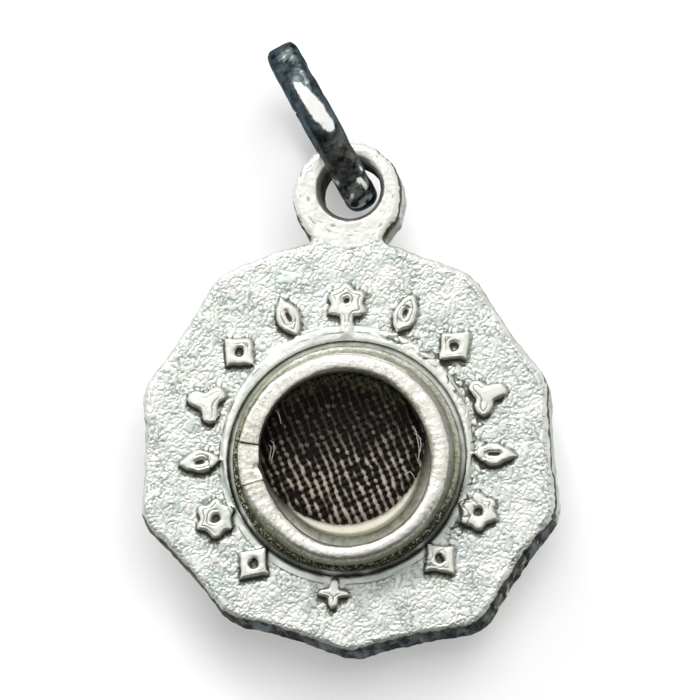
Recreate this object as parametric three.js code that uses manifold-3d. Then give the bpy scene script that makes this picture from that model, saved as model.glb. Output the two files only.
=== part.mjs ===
// Reliquary medal: a ten-lobed metal pendant whose capsule shows a disc of cloth, hung on a wire ring.
// Millimetres. It is drawn face up, back on z = 0 and ear towards +y, then stood up to hang:
// +Z is up, the face looks along -Y, and the origin is the middle of the back.

import * as THREE from "three";
import { mergeVertices } from "three/addons/utils/BufferGeometryUtils.js";
import Module from "manifold-3d";

// Plate
const lobeCount = 10;
const lobeRadius = 8.3; // middle to the tip of a lobe
const sideHollow = 0.02; // how far a side dips below the straight line between two lobes
const lobeSoftness = 0.26; // share of each side that the rounding of a lobe takes up
// The die was cut by eye: each lobe stands this far out of the circle, clockwise from the neck
const lobeTrims = [-0.02, -0.18, 0.21, 0.36, -0.33, -0.37, 0.08, 0.01, 0.28];
const plateThickness = 1.8;
const edgeRound = 0.24;

// Ear and neck
const earRise = 1.8; // from the circle of the lobes up to the ear's middle
const earWall = 0.98;
const neckHalfWidth = 1.42;
const neckJoinAngle = 38; // degrees below the ear's middle where the neck leaves the ear
const neckFlare = 0.1; // how far below the circle of the lobes the neck's sides aim
const shoulderFill = 0.4; // how much fuller the two sides beside the neck are
const earHolePlay = 0.49; // all round the ring's wire
const earHoleRise = 0.27; // the hole sits high in the ear
const earHoleShift = 0.12; // towards +x
const countersink = 0.17;

// Capsule, from the window outwards
const capsuleDrop = 0.4; // the capsule sits below the middle of the plate
const windowRadius = 3.46;
const lipOverlap = 0.34; // how far the lip reaches in past the cup's wall
const sheet = 0.15; // metal of the drawn cup
const cupCorner = 0.25; // outside bend of the cup's floor
const rimWall = 0.14;
const wallFlare = 0.13;
const footFlare = 0.2;
const footHeight = 0.34;
const footGroove = 0.2; // open groove between the foot and the collar
const footSeatDepth = 0.12;
const recessDepth = 0.8;
const lipDepth = 0.44; // from the lip's underside up to the middle of its bead
const slotDepth = 0.2; // how far the cup's wall stands up into the rim
const fitGap = 0.03;

// Short closing stretch of the rim
const segmentAngle = 182; // degrees, counter-clockwise from +x
const segmentArcAngle = 24; // how much of the rim it takes up
const segmentDressed = 0.08; // filed off its crown
const seamWidth = 0.04;

// Card and cloth
const cardThickness = 0.5;
const cardMargin = 0.82; // from the card to the cup's wall where they are closest
const cardDrop = 0.16;
const clothThickness = 0.5;
const clothMargin = 0.08; // from the cloth to the cup's wall where they are closest
const clothShift = [-0.28, 0.46];
const clothToLip = 0.2;

// Raised collar and marks
const collarLand = 0.25; // how much wider the collar is than the groove
const collarHeight = 0.15;
const reliefHeight = 0.22;
const reliefRound = 0.1;
const reliefRoot = 0.3; // how deep a mark runs into the plate
const markLength = 1.7; // along the medal's radius
const markWidth = 1.5;
const markStepAngle = 23.5; // degrees from one mark to the next
const stemWidth = 0.5;
const starAngle = -95;
const starRadius = 0.62;

// Jump ring
const ringOuterRadius = 3.6;
const wireHeight = 1.2; // across the ring
const wireWidth = 1.3; // along the ring's axis
const wireSquareness = 2.6; // 2 is an ellipse, more is squarer
const ringLean = 28; // degrees to the left of upright
const ringSlack = [0.22, 0.04]; // from the middle of the ear's hole to the wire
const ringSplitAngle = 235; // degrees round from the ear, on the far side
const ringSplit = 0.08;

// Facets
const curveSteps = 6;
const markSteps = 5;
const petalSteps = 36;
const revolveSteps = 72;
const cornerSteps = 3;
const beadSteps = 9;
const holeSteps = 40;
const wireSteps = 60;
const wireSides = 14;

// Levels above the back
const field = plateThickness;
const cupBottom = field - recessDepth + fitGap;
const cardBottom = cupBottom + sheet + fitGap;
const clothBottom = cardBottom + cardThickness + fitGap;
const lipUnderside = clothBottom + clothThickness + clothToLip;
const cupTop = lipUnderside + slotDepth - fitGap;
const beadLevel = lipUnderside + lipDepth;
const footBottom = field - footSeatDepth + fitGap;

// The ear fits the ring's wire
const wireReach = (Math.hypot(wireWidth, wireHeight) / 2) * 2 ** (-1 / wireSquareness); // to its corners
const earHoleRadius = wireReach + earHolePlay;
const earRadius = earHoleRadius + earWall;

// Radii of the capsule
const cupInner = windowRadius + lipOverlap;
const cupOuter = cupInner + sheet;
const slotInner = cupInner - fitGap;
const slotOuter = cupOuter + fitGap;
const beadRadius = (slotOuter + rimWall - windowRadius) / 2;
const beadCentre = windowRadius + beadRadius;
const wallFoot = beadCentre + beadRadius + wallFlare;
const footRadius = wallFoot + footFlare;
const grooveRadius = footRadius + footGroove;
const collarRadius = grooveRadius + collarLand;
const markRadius = collarRadius + markLength / 2;
const cardRadius = cupInner - cardMargin - cardDrop;
const clothRadius = cupInner - clothMargin - Math.hypot(...clothShift);

const degree = Math.PI / 180;
const overshoot = 1; // cutting bodies run this far past what they cut

const wasm = await Module();
wasm.setup();

// Merges shared vertices and drops the triangles that shrink to nothing on an axis.
function closed(geometry) {
  const bare = geometry.clone();
  bare.deleteAttribute("normal");
  bare.deleteAttribute("uv");
  const merged = mergeVertices(bare, 1e-5);
  const corners = merged.getIndex().array;
  const kept = [];
  for (let i = 0; i < corners.length; i += 3) {
    const [a, b, c] = corners.slice(i, i + 3);
    if (a !== b && b !== c && c !== a) kept.push(a, b, c);
  }
  merged.setIndex(kept);
  merged.computeVertexNormals();
  return merged;
}

function toSolid(geometry) {
  const merged = closed(geometry);
  const mesh = new wasm.Mesh({
    numProp: 3,
    vertProperties: new Float32Array(merged.getAttribute("position").array),
    triVerts: new Uint32Array(merged.getIndex().array),
  });
  return new wasm.Manifold(mesh);
}

function toGeometry(solid) {
  const { vertProperties, triVerts } = solid.getMesh();
  const geometry = new THREE.BufferGeometry();
  geometry.setAttribute("position", new THREE.BufferAttribute(vertProperties, 3));
  geometry.setIndex(new THREE.BufferAttribute(triVerts, 1));
  geometry.computeVertexNormals();
  return geometry;
}

function polar(radius, angle) {
  return new THREE.Vector2(radius * Math.cos(angle * degree), radius * Math.sin(angle * degree));
}

// Points [radius, level] along an arc of a section.
function arc(centre, level, radius, fromAngle, toAngle, steps) {
  const points = [];
  for (let i = 0; i <= steps; i++) {
    const at = polar(radius, fromAngle + ((toAngle - fromAngle) * i) / steps);
    points.push([centre + at.x, level + at.y]);
  }
  return points;
}

// Turns a closed section of [radius, level] points about the z axis.
function revolve(points, steps = revolveSteps) {
  const section = points.map(([radius, level]) => new THREE.Vector2(radius, level));
  if (THREE.ShapeUtils.isClockWise(section)) section.reverse();
  section.push(section[0].clone());
  return closed(new THREE.LatheGeometry(section, steps).rotateX(Math.PI / 2));
}

// Lobes and sides are one smooth curve. Its control points stand in turn over a side and over a lobe,
// and its pieces join on the lines between them, so that it touches both radii that are given.
function lobeControls() {
  const halfStep = 180 / lobeCount;
  const lean = Math.cos(halfStep * degree);
  const sideRadius = lobeRadius * lean - sideHollow;
  const [lobeOfLobe, sideOfLobe] = [1 - lobeSoftness / 2, (lobeSoftness * lean) / 2];
  const [lobeOfSide, sideOfSide] = [((1 - lobeSoftness) * lean) / 2, (1 + lobeSoftness) / 2];
  const spread = lobeOfLobe * sideOfSide - sideOfLobe * lobeOfSide;
  const overLobe = (lobeRadius * sideOfSide - sideRadius * sideOfLobe) / spread;
  const overSide = (sideRadius * lobeOfLobe - lobeRadius * lobeOfSide) / spread;
  const trimOf = (lobe) => lobeTrims[Math.min(Math.max(lobe, 0), lobeCount - 2)] ?? 0;
  const controls = [];
  for (let k = 1; k < 2 * lobeCount; k++) {
    const besideNeck = k === 1 || k === 2 * lobeCount - 1;
    const regular = k % 2 ? overSide + (besideNeck ? shoulderFill : 0) : overLobe;
    const trim = (trimOf(Math.floor(k / 2) - 1) + trimOf(Math.ceil(k / 2) - 1)) / 2;
    controls.push(polar(regular + trim, 90 - k * halfStep));
  }
  return controls;
}

// Clockwise from where the neck leaves the ear on the right, round the plate, and over the ear.
function plateOutline() {
  const earMiddle = lobeRadius + earRise;
  const join = polar(earRadius, -neckJoinAngle);
  join.y += earMiddle;
  const bend = new THREE.Vector2(neckHalfWidth, join.y);
  bend.y -= (join.x - neckHalfWidth) / Math.tan(neckJoinAngle * degree);
  const flare = new THREE.Vector2(neckHalfWidth, lobeRadius - neckFlare);
  const mirrored = ({ x, y }) => new THREE.Vector2(-x, y);

  const controls = [bend, flare, ...lobeControls(), mirrored(flare), mirrored(bend)];
  const outline = new THREE.Shape().moveTo(join.x, join.y);
  const lobeStart = 3; // the first control point that stands over a lobe
  for (let i = 0; i < controls.length - 1; i++) {
    const [here, next] = [controls[i], controls[i + 1]];
    const fromNeck = Math.min(i, controls.length - 2 - i) < lobeStart - 1;
    const overLobe = (i - lobeStart) % 2 === 0;
    const share = fromNeck ? 0.5 : overLobe ? lobeSoftness : 1 - lobeSoftness;
    const joint = here.clone().lerp(next, share);
    outline.quadraticCurveTo(here.x, here.y, joint.x, joint.y);
  }
  outline.quadraticCurveTo(-bend.x, bend.y, -join.x, join.y);
  for (const [from, to] of [[180 + neckJoinAngle, 135], [135, 45], [45, -neckJoinAngle]]) {
    outline.absarc(0, earMiddle, earRadius, from * degree, to * degree, true);
  }
  return outline;
}

function petals(radius, depth, count, turn = 0) {
  const points = [];
  for (let i = 0; i < petalSteps; i++) {
    const angle = (360 * i) / petalSteps;
    points.push(polar(radius - depth * (1 - Math.cos((angle - turn) * count * degree)) * 0.5, angle));
  }
  return new THREE.Shape(points);
}

function pierced() {
  return new THREE.Path().absarc(0, 0, markWidth * 0.12, 0, 2 * Math.PI, true);
}

// Raised marks, each drawn round its own middle with the medal's rim above it
const marks = {
  leaf() {
    const [half, wide] = [markLength / 2, markWidth * 0.62];
    const leaf = new THREE.Shape().moveTo(0, -half);
    leaf.quadraticCurveTo(wide, -half * 0.1, 0, half).quadraticCurveTo(-wide, -half * 0.1, 0, -half);
    const vein = new THREE.Path().moveTo(0, -half * 0.55);
    vein.quadraticCurveTo(-wide * 0.16, 0, 0, half * 0.4).quadraticCurveTo(wide * 0.16, 0, 0, -half * 0.55);
    leaf.holes.push(vein);
    return leaf;
  },
  lozenge() {
    const [half, wide] = [markLength / 2, markWidth / 2];
    const lozenge = new THREE.Shape().moveTo(0, -half);
    for (const [x, y, fromX, fromY] of [
      [wide, 0, 0, -half],
      [0, half, wide, 0],
      [-wide, 0, 0, half],
      [0, -half, -wide, 0],
    ]) {
      lozenge.quadraticCurveTo((x + fromX) * 0.42, (y + fromY) * 0.42, x, y);
    }
    lozenge.holes.push(pierced());
    return lozenge;
  },
  trefoil() {
    return petals(markWidth * 0.56, markWidth * 0.3, 3, 90);
  },
  rosette() {
    const rosette = petals(markWidth * 0.54, markWidth * 0.13, 6, 90);
    rosette.holes.push(pierced());
    return rosette;
  },
};
const markOrder = ["leaf", "lozenge", "trefoil", "leaf", "rosette", "lozenge"]; // from the top, both ways

function relief(shape, radius, angle) {
  const geometry = new THREE.ExtrudeGeometry(shape, {
    depth: reliefRoot + reliefHeight - 2 * reliefRound,
    bevelThickness: reliefRound,
    bevelSize: reliefRound,
    bevelOffset: -reliefRound,
    bevelSegments: 2,
    curveSegments: markSteps,
  });
  const at = polar(radius, angle);
  geometry.rotateZ((angle - 90) * degree);
  return toSolid(geometry.translate(at.x, at.y, field - reliefRoot + reliefRound));
}

function stem(fromRadius, toRadius) {
  const half = (toRadius - fromRadius) / 2;
  const bar = new THREE.Shape().moveTo(-stemWidth / 2, -half).lineTo(stemWidth / 2, -half);
  bar.lineTo(stemWidth / 2, half).lineTo(-stemWidth / 2, half);
  return relief(bar, fromRadius + half, 90);
}

function medalBody() {
  const plate = new THREE.ExtrudeGeometry(plateOutline(), {
    depth: plateThickness - 2 * edgeRound,
    bevelThickness: edgeRound,
    bevelSize: edgeRound,
    bevelOffset: -edgeRound,
    bevelSegments: 3,
    curveSegments: curveSteps,
  }).translate(0, 0, edgeRound);
  const collar = revolve([
    [0, field - reliefRoot],
    [collarRadius, field - reliefRoot],
    [collarRadius, field + collarHeight - reliefRound],
    [collarRadius - reliefRound, field + collarHeight],
    [0, field + collarHeight],
  ]);

  let body = toSolid(plate).add(toSolid(collar));
  for (const side of [1, -1]) {
    markOrder.forEach((name, i) => {
      body = body.add(relief(marks[name](), markRadius, 90 + side * markStepAngle * (i + 1)));
    });
  }
  body = body.add(relief(marks.rosette(), markRadius, 90)).add(stem(collarRadius - stemWidth, markRadius));
  body = body.add(relief(petals(starRadius, starRadius * 0.55, 4, 90), markRadius, starAngle));

  const seat = revolve([
    [0, field - recessDepth],
    [slotOuter, field - recessDepth],
    [slotOuter, field - footSeatDepth],
    [grooveRadius, field - footSeatDepth],
    [grooveRadius, field + overshoot],
    [0, field + overshoot],
  ]);
  const hole = revolve(
    [
      [0, -overshoot],
      [earHoleRadius + countersink + overshoot, -overshoot],
      [earHoleRadius, countersink],
      [earHoleRadius, field - countersink],
      [earHoleRadius + countersink + overshoot, field + overshoot],
      [0, field + overshoot],
    ],
    holeSteps,
  );
  const [holeX, holeY] = earHole();
  body = body.subtract(toSolid(seat.translate(0, -capsuleDrop, 0)));
  return toGeometry(body.subtract(toSolid(hole.translate(holeX, holeY, 0))));
}

function earHole() {
  return [earHoleShift, lobeRadius + earRise + earHoleRise];
}

// A thin drawn cup: flat floor, bent corner, straight wall.
function capsuleCup() {
  const bendInner = cupCorner - sheet;
  const bendRadius = cupOuter - cupCorner;
  return revolve([
    [0, cupBottom],
    ...arc(bendRadius, cupBottom + cupCorner, cupCorner, -90, 0, cornerSteps),
    [cupOuter, cupTop],
    [cupInner, cupTop],
    ...arc(bendRadius, cupBottom + cupCorner, bendInner, 0, -90, cornerSteps),
    [0, cupBottom + sheet],
  ]);
}

// The rim's section: a round bead over the window, a wall that flares to a foot, and a slot inside
// for the cup's wall.
function rimRing() {
  const footTop = footBottom + footFlare;
  return revolve([
    ...arc(beadCentre, beadLevel, beadRadius, 215, 0, beadSteps),
    [wallFoot, field + footHeight],
    ...arc(wallFoot, footTop, footFlare, 60, 0, cornerSteps),
    [footRadius, footBottom],
    [slotOuter, footBottom],
    [slotOuter, lipUnderside + slotDepth],
    [slotInner, lipUnderside + slotDepth],
    [slotInner, lipUnderside],
    [windowRadius + beadRadius / 2, lipUnderside],
  ]);
}

function wedge(span, top) {
  const [from, to] = [-0.5, 0.5].map((share) => polar(2 * footRadius, segmentAngle + share * span));
  const slice = new THREE.Shape().moveTo(0, 0).lineTo(from.x, from.y).lineTo(to.x, to.y);
  return toSolid(new THREE.ExtrudeGeometry(slice, { depth: top, bevelEnabled: false }));
}

function rimPieces() {
  const ring = toSolid(rimRing());
  const crown = beadLevel + beadRadius;
  const seams = (2 * seamWidth) / beadCentre / degree;
  return {
    main: toGeometry(ring.subtract(wedge(segmentArcAngle + seams, crown + overshoot))),
    segment: toGeometry(ring.intersect(wedge(segmentArcAngle, crown - segmentDressed))),
  };
}

function disc(radius, thickness, bottom, x, y) {
  const geometry = new THREE.CylinderGeometry(radius, radius, thickness, revolveSteps);
  return geometry.rotateX(Math.PI / 2).translate(x, y, bottom + thickness / 2);
}

// The ring's own circle, without the split
class RingLine extends THREE.Curve {
  getPoint(t, target = new THREE.Vector3()) {
    const radius = ringOuterRadius - wireHeight / 2;
    const halfSplit = ringSplit / 2 / radius;
    const angle = ringSplitAngle * degree + halfSplit + t * 2 * (Math.PI - halfSplit);
    return target.set(radius * Math.cos(angle), radius * Math.sin(angle), 0);
  }
}

function jumpRing() {
  const section = [];
  for (let i = 0; i < wireSides; i++) {
    const angle = (2 * Math.PI * i) / wireSides;
    const round = (value) => Math.sign(value) * Math.abs(value) ** (2 / wireSquareness);
    section.push(
      new THREE.Vector2((round(Math.cos(angle)) * wireWidth) / 2, (round(Math.sin(angle)) * wireHeight) / 2),
    );
  }
  return new THREE.ExtrudeGeometry(new THREE.Shape(section), {
    steps: wireSteps,
    extrudePath: new RingLine(),
  });
}

const metals = {
  plate: new THREE.MeshStandardMaterial({ color: 0xd9dad3, roughness: 0.38, metalness: 1 }),
  cup: new THREE.MeshStandardMaterial({ color: 0xb9bab2, roughness: 0.45, metalness: 1 }),
  rim: new THREE.MeshStandardMaterial({ color: 0xdfddd2, roughness: 0.2, metalness: 1 }),
  segment: new THREE.MeshStandardMaterial({ color: 0xd6d8cf, roughness: 0.3, metalness: 1 }),
  ring: new THREE.MeshStandardMaterial({ color: 0x3a4145, roughness: 0.35, metalness: 1 }),
};
const card = new THREE.MeshStandardMaterial({ color: 0xe9e3cf, roughness: 0.9, metalness: 0 });
const cloth = new THREE.MeshStandardMaterial({ color: 0x2a211c, roughness: 0.95, metalness: 0 });

function named(name, geometry, material) {
  const mesh = new THREE.Mesh(geometry, material);
  mesh.name = name;
  return mesh;
}

const rim = rimPieces();
const capsule = new THREE.Group();
capsule.position.y = -capsuleDrop;
capsule.add(
  named("capsule_cup", capsuleCup(), metals.cup),
  named("backing_disc", disc(cardRadius, cardThickness, cardBottom, 0, -cardDrop), card),
  named("relic_cloth", disc(clothRadius, clothThickness, clothBottom, ...clothShift), cloth),
  named("rolled_rim", rim.main, metals.rim),
  named("rim_segment", rim.segment, metals.segment),
);

// The ring's plane holds the line of the hole: its x runs from its middle to the ear, its y runs forward.
const jump = named("jump_ring", jumpRing(), metals.ring);
const away = polar(1, 90 + ringLean);
const toEar = new THREE.Vector3(-away.x, -away.y, 0);
const forward = new THREE.Vector3(0, 0, 1);
const side = toEar.clone().cross(forward);
jump.quaternion.setFromRotationMatrix(new THREE.Matrix4().makeBasis(toEar, forward, side));
const [holeX, holeY] = earHole();
jump.position.set(holeX + ringSlack[0], holeY + ringSlack[1], plateThickness / 2);
jump.position.addScaledVector(toEar, -(ringOuterRadius - wireHeight / 2));

const medal = new THREE.Group();
medal.add(named("medal_body", medalBody(), metals.plate), capsule, jump);
medal.rotation.x = Math.PI / 2;

export default medal;
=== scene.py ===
import math
from functools import partial

import bmesh
import bpy
import numpy as np
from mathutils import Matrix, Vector, kdtree, noise


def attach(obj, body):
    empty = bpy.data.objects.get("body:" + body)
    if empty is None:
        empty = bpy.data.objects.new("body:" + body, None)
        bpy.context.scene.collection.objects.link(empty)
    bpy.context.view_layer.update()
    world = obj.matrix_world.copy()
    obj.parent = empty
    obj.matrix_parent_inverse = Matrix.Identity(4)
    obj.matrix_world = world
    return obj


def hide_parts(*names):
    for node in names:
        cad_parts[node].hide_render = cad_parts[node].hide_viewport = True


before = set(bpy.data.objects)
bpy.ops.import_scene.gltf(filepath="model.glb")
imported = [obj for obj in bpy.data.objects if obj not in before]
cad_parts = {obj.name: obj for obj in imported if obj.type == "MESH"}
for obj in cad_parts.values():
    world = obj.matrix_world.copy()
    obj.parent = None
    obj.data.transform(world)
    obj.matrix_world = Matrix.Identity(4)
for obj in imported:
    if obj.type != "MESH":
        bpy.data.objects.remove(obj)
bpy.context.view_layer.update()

print("frame loaded")

# Lengths are millimetres in the medal's own drawing: x to the right, y up, level out of the back.
mm = 0.001
fieldLevel = 1.8
capsuleAt = np.array([0.0, -0.4])
earAt = np.array([0.0, 10.1])
earHoleAt = np.array([0.12, 10.37])


def standUp(points):  # drawing to world, in metres
    points = np.asarray(points, dtype=float)
    return np.stack([points[..., 0], -points[..., 2], points[..., 1]], axis=-1) * mm


def linear(hexText):  # sRGB hex to the linear colour a shader wants
    parts = [int(hexText[i:i + 2], 16) / 255 for i in (1, 3, 5)]
    return [*(p / 12.92 if p <= 0.04045 else ((p + 0.055) / 1.055) ** 2.4 for p in parts), 1.0]


def noiseAt(points, size, seed):  # smooth noise from -1 to 1, a bump about every size
    shift = Vector((seed * 7.13, seed * 3.71, seed * 5.37))
    return np.array([noise.noise(Vector(p) / size + shift) for p in points.tolist()])


def ribNoise(rib, along, seed):  # noise that runs along each rib by itself
    return noiseAt(np.stack([rib, along, along * 0], axis=1), 1.0, seed)


def scatter(first, second):  # a fixed value from 0 to 1 for each pair of whole numbers
    value = np.sin(first * 127.1 + second * 311.7) * 43758.5453
    return value - np.floor(value)


def unit(values):  # held between 0 and 1
    return np.clip(values, 0, 1)


def ease(low, high, values):  # from 0 at low to 1 at high
    t = unit((values - low) / (high - low))
    return t * t * (3 - 2 * t)


def bell(values, middle, width, power=2):  # 1 at the middle, falling off to both sides
    return np.exp(-((values - middle) / width) ** power)


def newObject(name, mesh):
    obj = bpy.data.objects.new(name, mesh)
    bpy.context.scene.collection.objects.link(obj)
    return obj


def setAttributes(mesh, **readings):  # a value for each point, which the materials read
    for name, values in readings.items():
        layer = mesh.attributes.new(name, "FLOAT", "POINT")
        layer.data.foreach_set("value", np.asarray(values, dtype=np.float32))


def readAll(items, name, width=3, kind=float):  # one row for each item
    values = np.empty(len(items) * width, dtype=kind)
    items.foreach_get(name, values)
    return values.reshape(-1, width)


def movePoints(mesh, points):
    mesh.vertices.foreach_set("co", points.ravel())
    mesh.update()


def neighbourMean(values, edges):
    first, second = edges[:, 0], edges[:, 1]
    count = len(values)
    total = np.bincount(first, weights=values[second], minlength=count)
    total += np.bincount(second, weights=values[first], minlength=count)
    uses = np.bincount(first, minlength=count) + np.bincount(second, minlength=count)
    return total / np.maximum(uses, 1)


def soften(points, edges, times, share=1.0):  # moves each point halfway to its neighbours' mean
    for _ in range(times):
        for axis in range(3):
            mean = neighbourMean(points[:, axis], edges)
            points[:, axis] += 0.5 * share * (mean - points[:, axis])


def distanceTo(targets, points, most):  # from each point to the nearest target, seen from the front
    tree = kdtree.KDTree(len(targets))
    for i, point in enumerate(targets.tolist()):
        tree.insert(point, i)
    tree.balance()
    return np.minimum([tree.find(p)[2] for p in points.tolist()], most)


def shell(name, points, faces):  # a mesh from drawing points, its faces turned outwards
    mesh = bpy.data.meshes.new(name)
    mesh.from_pydata(standUp(points).tolist(), [], faces)
    edit = bmesh.new()
    edit.from_mesh(mesh)
    bmesh.ops.recalc_face_normals(edit, faces=edit.faces)
    edit.to_mesh(mesh)
    edit.free()
    mesh.shade_smooth()
    return mesh


def skin(name, rows, joined=False, sharp=40):  # rows of points round a section, skinned in turn
    rows = np.asarray(rows)
    count, around = rows.shape[:2]
    index = np.arange(count * around).reshape(count, around)
    after = np.roll(index, -1, axis=0)
    faces = np.stack([index, np.roll(index, -1, 1), np.roll(after, -1, 1), after], axis=-1)
    faces = faces[:count if joined else -1].reshape(-1, 4).tolist()
    if not joined:
        faces += [index[0, ::-1].tolist(), index[-1].tolist()]
    mesh = shell(name, rows.reshape(-1, 3), faces)
    mesh.set_sharp_from_angle(angle=math.radians(sharp))
    return newObject(name, mesh)


def arc(centre, level, radius, start, end, steps):  # points [radius, level] of a turned section
    turns = [math.radians(start + (end - start) * i / steps) for i in range(steps + 1)]
    return [(centre + radius * math.cos(t), level + radius * math.sin(t)) for t in turns]


def turned(name, section, centre, steps=144):
    rows = []
    for i in range(steps):
        angle = 2 * math.pi * i / steps
        a, b = math.cos(angle), math.sin(angle)
        rows.append([(centre[0] + r * a, centre[1] + r * b, level) for r, level in section])
    return skin(name, rows, joined=True)


def clearedTree(owner):
    owner.use_nodes = True
    owner.node_tree.nodes.clear()
    return owner.node_tree


def feed(node, inputs):  # an input takes a value or another node's output
    for name, value in inputs.items():
        if isinstance(value, bpy.types.NodeSocket):
            node.id_data.links.new(value, node.inputs[name])
        else:
            node.inputs[name].default_value = value


def addNode(tree, kind, inputs=None, stops=None, out=0, **settings):  # gives the node's output
    node = tree.nodes.new("ShaderNode" + kind)
    for name, value in settings.items():
        setattr(node, name, value)
    feed(node, inputs or {})
    if kind == "MapRange":  # place and value of its two stops
        (low, first), (high, last) = stops
        feed(node, {"From Min": low, "To Min": first, "From Max": high, "To Max": last})
    elif stops:  # place and colour of each stop on a ramp
        ramp = node.color_ramp.elements
        ramp[1].position, ramp[0].position = stops[-1][0], stops[0][0]
        ramp[0].color, ramp[1].color = linear(stops[0][1]), linear(stops[-1][1])
        for place, colour in stops[1:-1]:
            ramp.new(place).color = linear(colour)
    return node.outputs[out] if len(node.outputs) else node


def startMaterial(name, *readings):  # at is the place on the piece, in millimetres
    material = bpy.data.materials.new(name)
    add = partial(addNode, clearedTree(material))
    surface = add("BsdfPrincipled")
    add("OutputMaterial", {"Surface": surface})
    place = add("TexCoord", out="Object")
    at = add("VectorMath", {0: place, 1: (1 / mm,) * 3}, operation="MULTIPLY")
    values = [add("Attribute", out="Fac", attribute_name=reading) for reading in readings]
    return [material, add, surface.node, at] + values


castLook = {
    "bright": "#e6e5dc",  # tops rubbed clean
    "pale": "#dcdfdb", "field": "#ccd0cc", "green": "#b2bcb8", "straw": "#dcd7c0",
    "line": "#858b82", "hollow": "#52554c", "bevel": "#55584a",
    "edgeDark": "#2e3026",  # the wall's front half
    "edgeLight": "#77755c",
    "wall": "#1a1f22",  # and its back half
    "wallWorn": "#646d72",
    "cloudSize": 0.9,  # drift from grey to green
    "speckSize": 0.17,  # one grain of the stipple
    "gritSize": 0.07, "gritDepth": 0.03,
    "rustSize": 0.42,  # patches of tarnish on the wall
    "rustStretch": 0.25,  # how much they are drawn out along the thickness
    "satin": 0.5,  # roughness of the field
    "rubbed": 0.34,  # and of the rubbed tops
    "crust": 0.35,  # added on the walls
}


def castSilver():
    # Silver alloy, cast and tumbled: it gives a pale, nearly white metal whose sunk lines and walls
    # kept their dark tarnish, darkened further with painted shade in the recesses, under ledges and
    # on the undersides, and with a soft satin gloss on what the tumbling reached.
    look = castLook
    material, add, shader, at, hollow, polish, wall, depth = startMaterial(
        "castTumbledSilver", "hollow", "polish", "wall", "depth")
    cloud, speck, grit = [
        add("TexNoise", {"Vector": at, "Scale": 1 / look[size], "Detail": detail})
        for size, detail in (("cloudSize", 3.0), ("speckSize", 2.0), ("gritSize", 3.0))]
    drawnOut = add("Mapping", {"Vector": at, "Scale": (1, look["rustStretch"], 1)})
    rust = add("TexNoise", {"Vector": drawnOut, "Scale": 1 / look["rustSize"],
                            "Detail": 4.0, "Roughness": 0.6})
    ahead = add("ValToRGB", {0: rust}, [(0.4, look["edgeDark"]), (0.66, look["edgeLight"])])
    behind = add("ValToRGB", {0: rust}, [(0.45, look["wall"]), (0.64, look["wallWorn"])])
    side = add("Mix", {0: depth, 6: ahead, 7: behind}, out=2, data_type="RGBA")
    tint = add("MapRange", {0: speck}, [(0.54, 0), (0.66, 0.4)])
    shares = [tint, polish]
    # the hollow and wall readings carry tarnish and painted shade: in recesses, under ledges, on
    # undersides
    for value, low, high in ((hollow, 0.1, 0.6), (hollow, 0.55, 1.0), (wall, 0.08, 0.5),
                             (wall, 0.45, 0.85)):
        shares.append(add("MapRange", {0: value}, [(low, 0), (high, 1)],
                          interpolation_type="SMOOTHSTEP"))
    colours = [linear(look[name]) for name in ("straw", "bright", "line", "hollow", "bevel")]
    tone = add("ValToRGB", {0: cloud},
               [(0.36, look["pale"]), (0.5, look["field"]), (0.64, look["green"])])
    for share, colour in zip(shares, colours + [side]):  # each lies over the last
        tone = add("Mix", {0: share, 6: tone, 7: colour}, out=2, data_type="RGBA")
    satin = add("MapRange", {0: polish}, [(0, look["satin"]), (1, look["rubbed"])])
    crust = add("MapRange", {0: wall}, [(0.1, 0), (0.9, look["crust"])])
    rough = add("Math", {0: satin, 1: crust}, operation="ADD")
    bump = add("Bump", {"Height": grit, "Strength": 0.35, "Distance": look["gritDepth"] * mm})
    feed(shader, {"Base Color": tone, "Metallic": 1.0, "Roughness": rough, "Normal": bump})
    return material


rimLook = {
    # the darkest tone is reached where tarnish and painted shade meet at the foot and low down
    "bright": "#dedcd4", "dull": "#b2b2a5", "olive": "#93957f", "soot": "#3f4034",
    "spot": "#cdc9b2",
    "mottleSize": 0.16, "mottleDepth": 0.06, "fleckSize": 0.09,
    "mottled": 1.7,  # how far the patches shift the tarnish
    "gloss": 0.32,  # roughness where it is clean
    "matt": 0.56,  # and where it is tarnished
}


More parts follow.
